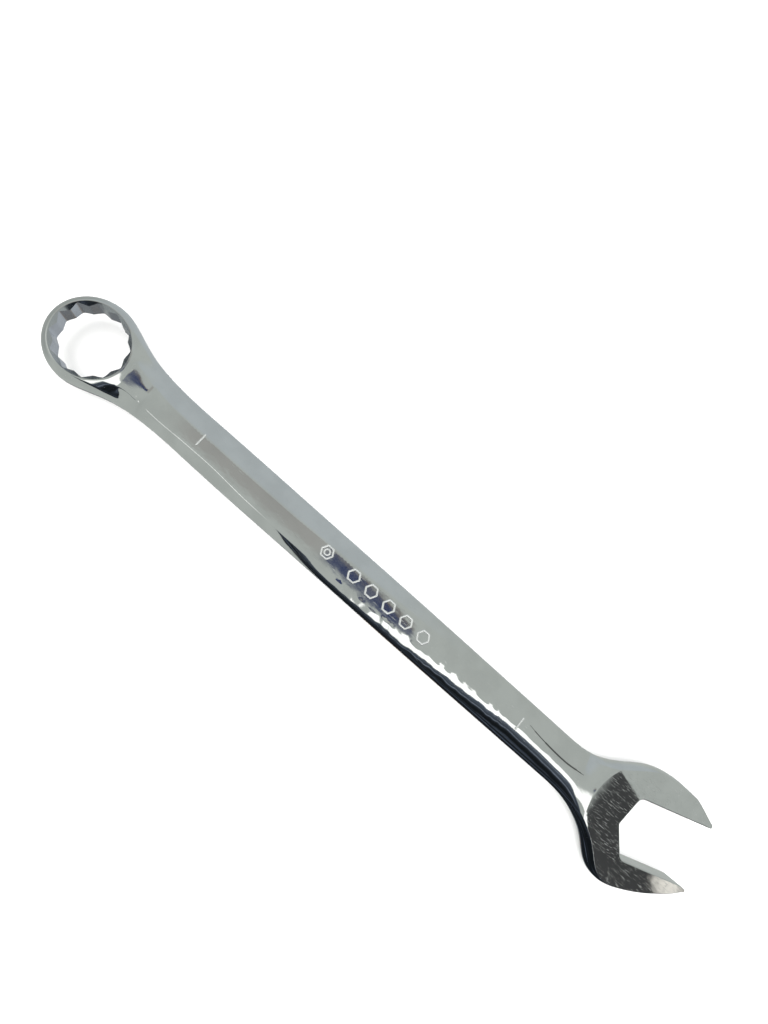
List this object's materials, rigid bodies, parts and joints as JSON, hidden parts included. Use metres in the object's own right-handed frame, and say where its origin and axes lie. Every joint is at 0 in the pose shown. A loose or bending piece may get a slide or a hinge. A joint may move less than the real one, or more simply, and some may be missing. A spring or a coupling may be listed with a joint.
{
  "type": "combination wrench",
  "caption": "Long chrome-plated combination wrench for a 1 inch nut: tilted 12-point box end, slim rounded shank, angled open end.",
  "frame": {"origin": "centre of the box end's 12-point opening", "axes": "+X along the shank towards the open end, +Z out of the marked face of the shank, +Y towards the side that the open jaws turn to"},
  "size_m": [0.3459, 0.0531, 0.0216],
  "materials": {
    "chrome_plate": "bright polished chrome plate over a drop forging, with fine handling scratches on the open head",
    "raised_marks": "polished chrome on raised forged marks"
  },
  "bodies": {
    "root": {"box_end_ring": "chrome_plate", "box_end_neck": "chrome_plate", "shank": "chrome_plate", "open_end_neck": "chrome_plate", "open_end_throat": "chrome_plate", "upper_jaw": "chrome_plate", "lower_jaw": "chrome_plate", "box_size_mark": "raised_marks", "open_size_mark": "raised_marks", "nut_symbol": "raised_marks", "hexagon_row": "raised_marks"}
  },
  "joints": []
}
